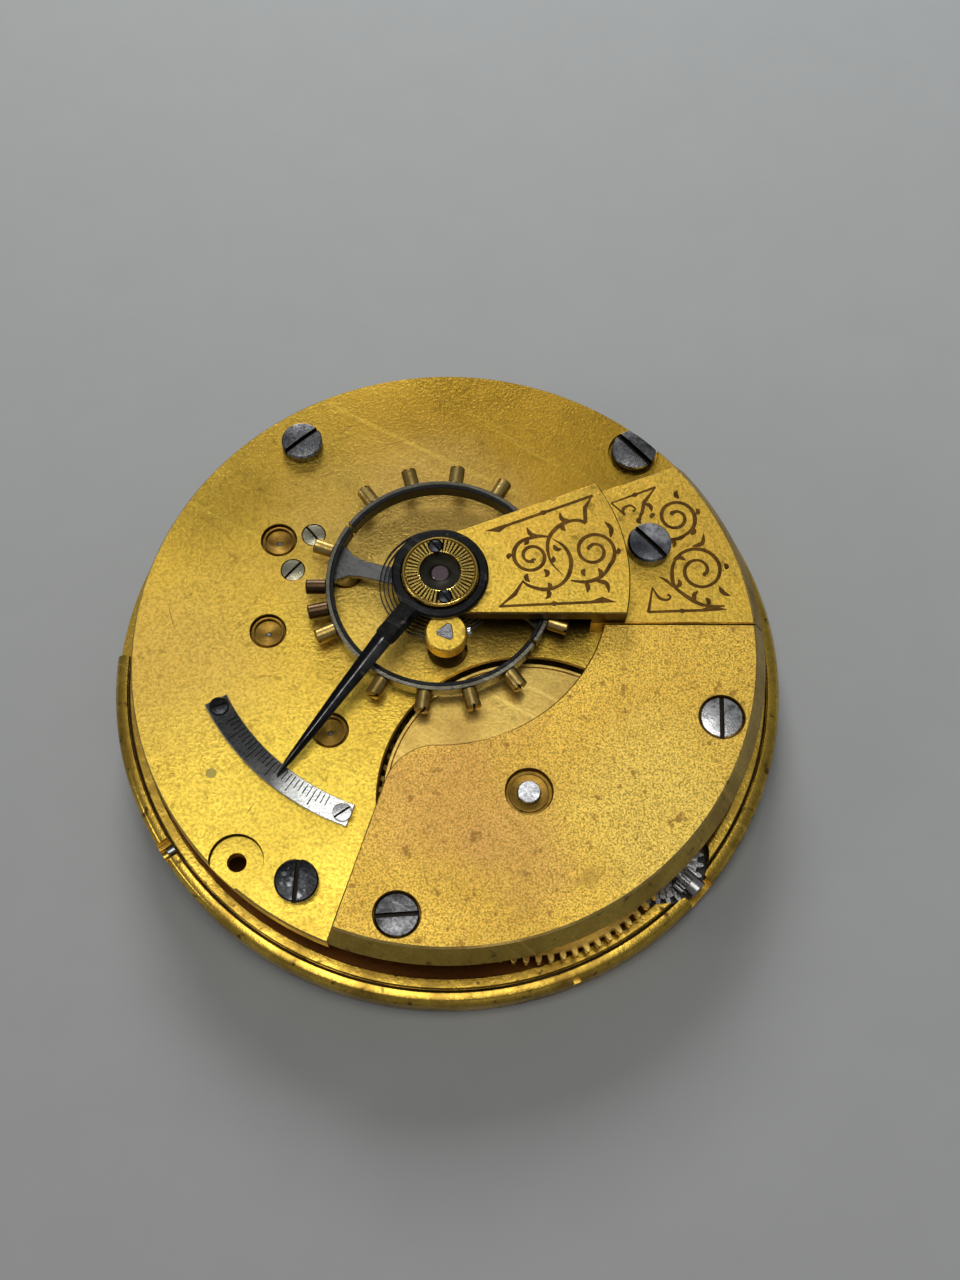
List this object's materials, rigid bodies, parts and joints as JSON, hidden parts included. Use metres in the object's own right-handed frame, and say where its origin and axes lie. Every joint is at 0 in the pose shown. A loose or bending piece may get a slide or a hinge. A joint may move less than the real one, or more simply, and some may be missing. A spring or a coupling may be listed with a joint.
{
  "type": "pocket watch movement",
  "caption": "Full plate pocket watch movement with a going train, lever escapement, balance, barrel, winding work and motion work between gilt plates.",
  "frame": {"origin": "centre of the pillar plate's rim, on its dial side", "axes": "+Z from the dial side to the balance side; +X to the right and +Y up in the usual view of the back, with the balance cock's foot at the right"},
  "size_m": [0.0448, 0.0448, 0.0125],
  "materials": {
    "gilt_rim": "gilt, worn",
    "gilt_pillar": "gilt",
    "gilt_plate": "matte gilt, frosted",
    "blued_screw": "dark steel, mottled",
    "gilt_bridge": "matte gilt, frosted",
    "bright_screw": "polished steel",
    "gilt_cock": "gilt with scroll engraving",
    "cock_screw": "steel, grey blue",
    "gilt_pin": "brass",
    "case_screw": "steel",
    "brass_plug": "bright brass",
    "gilt_potance": "gilt",
    "potance_screw": "steel",
    "banking_screw": "steel",
    "index_steel": "steel, graduated",
    "index_screw": "steel",
    "gilt_cap": "sunburst brushed",
    "cap_screw": "blued steel",
    "dark_setting": "dark steel",
    "upper_gem": "polished stone",
    "lower_gem": "polished stone",
    "stud_steel": "steel",
    "stud_screw": "steel",
    "hairspring_steel": "blued steel",
    "black_regulator": "black polished steel",
    "dial_screw": "steel",
    "post_steel": "steel",
    "shoulder_screw": "steel",
    "spring_steel": "steel",
    "staff_steel": "polished steel",
    "balance_steel": "steel",
    "balance_brass": "brass",
    "balance_screw": "brass",
    "collet_brass": "brass",
    "roller_steel": "steel",
    "roller_gem": "polished stone",
    "lever_steel": "steel",
    "pallet_arbor": "steel",
    "pallet_gem": "polished stone",
    "escape_brass": "brass",
    "escape_arbor": "steel",
    "fourth_brass": "brass",
    "fourth_arbor": "steel",
    "third_brass": "brass",
    "third_arbor": "steel",
    "centre_brass": "brass",
    "centre_arbor": "steel",
    "safety_steel": "steel",
    "cannon_steel": "steel",
    "minute_brass": "brass",
    "hour_brass": "brass",
    "barrel_brass": "brass, turned",
    "barrel_cap": "brass, turned",
    "mainspring_steel": "blued steel",
    "barrel_arbor": "polished steel",
    "ratchet_steel": "steel",
    "crown_steel": "steel",
    "winding_steel": "steel",
    "click_steel": "steel",
    "set_lever_steel": "steel"
  },
  "bodies": {
    "frame": {"pillar_plate": "gilt_rim", "plate_pillars": "gilt_pillar", "top_plate": "gilt_plate", "pillar_screws": "blued_screw", "barrel_bridge": "gilt_bridge", "bridge_screws": "bright_screw", "balance_cock": "gilt_cock", "cock_screw": "cock_screw", "steady_pins": "gilt_pin", "case_screw": "case_screw", "plate_plug": "brass_plug", "potance": "gilt_potance", "potance_screw": "potance_screw", "banking_screws": "banking_screw", "index_plate": "index_steel", "index_screws": "index_screw", "balance_cap": "gilt_cap", "cap_screws": "cap_screw", "endstone_setting": "dark_setting", "upper_balance_jewels": "upper_gem", "lower_balance_jewels": "lower_gem", "hairspring_stud": "stud_steel", "stud_screw": "stud_screw", "hairspring": "hairspring_steel", "dial_foot_screws": "dial_screw", "minute_wheel_post": "post_steel", "winding_screws": "shoulder_screw", "click_spring": "spring_steel"},
    "balance": {"balance_staff": "staff_steel", "balance_wheel": "balance_steel", "balance_rim": "balance_brass", "balance_screws": "balance_screw", "hairspring_collet": "collet_brass", "roller_table": "roller_steel", "roller_jewel": "roller_gem"},
    "lever": {"pallet_lever": "lever_steel", "pallet_arbor": "pallet_arbor", "pallet_stones": "pallet_gem"},
    "escape": {"escape_wheel": "escape_brass", "escape_pinion": "escape_arbor"},
    "fourth": {"fourth_wheel": "fourth_brass", "fourth_pinion": "fourth_arbor"},
    "third": {"third_wheel": "third_brass", "third_pinion": "third_arbor"},
    "centre": {"centre_wheel": "centre_brass", "centre_arbor": "centre_arbor", "safety_pinion": "safety_steel", "cannon_pinion": "cannon_steel"},
    "minute": {"minute_wheel": "minute_brass"},
    "hour": {"hour_wheel": "hour_brass"},
    "drum": {"barrel": "barrel_brass", "barrel_cap": "barrel_cap", "mainspring": "mainspring_steel"},
    "winding_arbor": {"barrel_arbor": "barrel_arbor", "ratchet_wheel": "ratchet_steel"},
    "crown": {"crown_wheel": "crown_steel"},
    "winding": {"winding_pinion": "winding_steel"},
    "click_pawl": {"click": "click_steel"},
    "set_lever": {"setting_lever": "set_lever_steel"},
    "regulator_arm": {"regulator": "black_regulator"}
  },
  "joints": [
    {"name": "fourth_turn", "type": "hinge", "parent": "frame", "child": "fourth", "pos_m": [-0.01177, 0.00128, 0], "axis": [0, 0, 1], "continuous": true},
    {"name": "third_turn", "type": "hinge", "parent": "frame", "child": "third", "pos_m": [-0.00751, -0.00557, 0], "axis": [0, 0, 1], "continuous": true},
    {"name": "centre_turn", "type": "hinge", "parent": "frame", "child": "centre", "pos_m": [0, 0, 0], "axis": [0, 0, 1], "continuous": true},
    {"name": "barrel_turn", "type": "hinge", "parent": "frame", "child": "drum", "pos_m": [0.0051, -0.01005, 0], "axis": [0, 0, 1], "continuous": true},
    {"name": "escape_turn", "type": "hinge", "parent": "frame", "child": "escape", "pos_m": [-0.01132, 0.00788, 0], "axis": [0, 0, 1], "continuous": true},
    {"name": "minute_turn", "type": "hinge", "parent": "frame", "child": "minute", "pos_m": [-0.00131, 0.00361, 0], "axis": [0, 0, 1], "continuous": true},
    {"name": "hour_turn", "type": "hinge", "parent": "frame", "child": "hour", "pos_m": [0, 0, 0], "axis": [0, 0, 1], "continuous": true},
    {"name": "lever_swing", "type": "hinge", "parent": "frame", "child": "lever", "pos_m": [-0.00681, 0.00555, 0], "axis": [0, 0, 1], "range_deg": [-4.8, 4.8]},
    {"name": "balance_swing", "type": "hinge", "parent": "frame", "child": "balance", "pos_m": [-0.0005, 0.00395, 0], "axis": [0, 0, 1], "range_deg": [-270, 270], "stiffness_Nm_per_rad": 0.000005, "deforming": ["hairspring"]},
    {"name": "arbor_turn", "type": "hinge", "parent": "frame", "child": "winding_arbor", "pos_m": [0.0051, -0.01005, 0], "axis": [0, 0, 1], "continuous": true},
    {"name": "crown_turn", "type": "hinge", "parent": "frame", "child": "crown", "pos_m": [0.01352, -0.01248, 0], "axis": [0, 0, 1], "continuous": true},
    {"name": "winding_turn", "type": "hinge", "parent": "frame", "child": "winding", "pos_m": [0.01352, -0.01248, 0.00177], "axis": [0.7349, -0.6782, 0], "continuous": true},
    {"name": "click_swing", "type": "hinge", "parent": "frame", "child": "click_pawl", "pos_m": [-0.0026, -0.01226, 0], "axis": [0, 0, 1], "range_deg": [0, 10], "stiffness_Nm_per_rad": 0.00001},
    {"name": "set_lever_swing", "type": "hinge", "parent": "frame", "child": "set_lever", "pos_m": [0.01636, 0.00532, 0], "axis": [0, 0, 1], "range_deg": [0, 12]},
    {"name": "regulator_swing", "type": "hinge", "parent": "frame", "child": "regulator_arm", "pos_m": [-0.0005, 0.00395, 0], "axis": [0, 0, 1], "range_deg": [-18, 12]}
  ],
  "couplings": [
    {"joint": "third_turn", "follows": "fourth_turn", "ratio": -0.125},
    {"joint": "centre_turn", "follows": "fourth_turn", "ratio": 0.016667},
    {"joint": "barrel_turn", "follows": "fourth_turn", "ratio": -0.0025641},
    {"joint": "escape_turn", "follows": "fourth_turn", "ratio": -10},
    {"joint": "minute_turn", "follows": "fourth_turn", "ratio": -0.0055556},
    {"joint": "hour_turn", "follows": "fourth_turn", "ratio": 0.0013889},
    {"joint": "crown_turn", "follows": "arbor_turn", "ratio": -1.7857},
    {"joint": "winding_turn", "follows": "arbor_turn", "ratio": -6.4286}
  ]
}
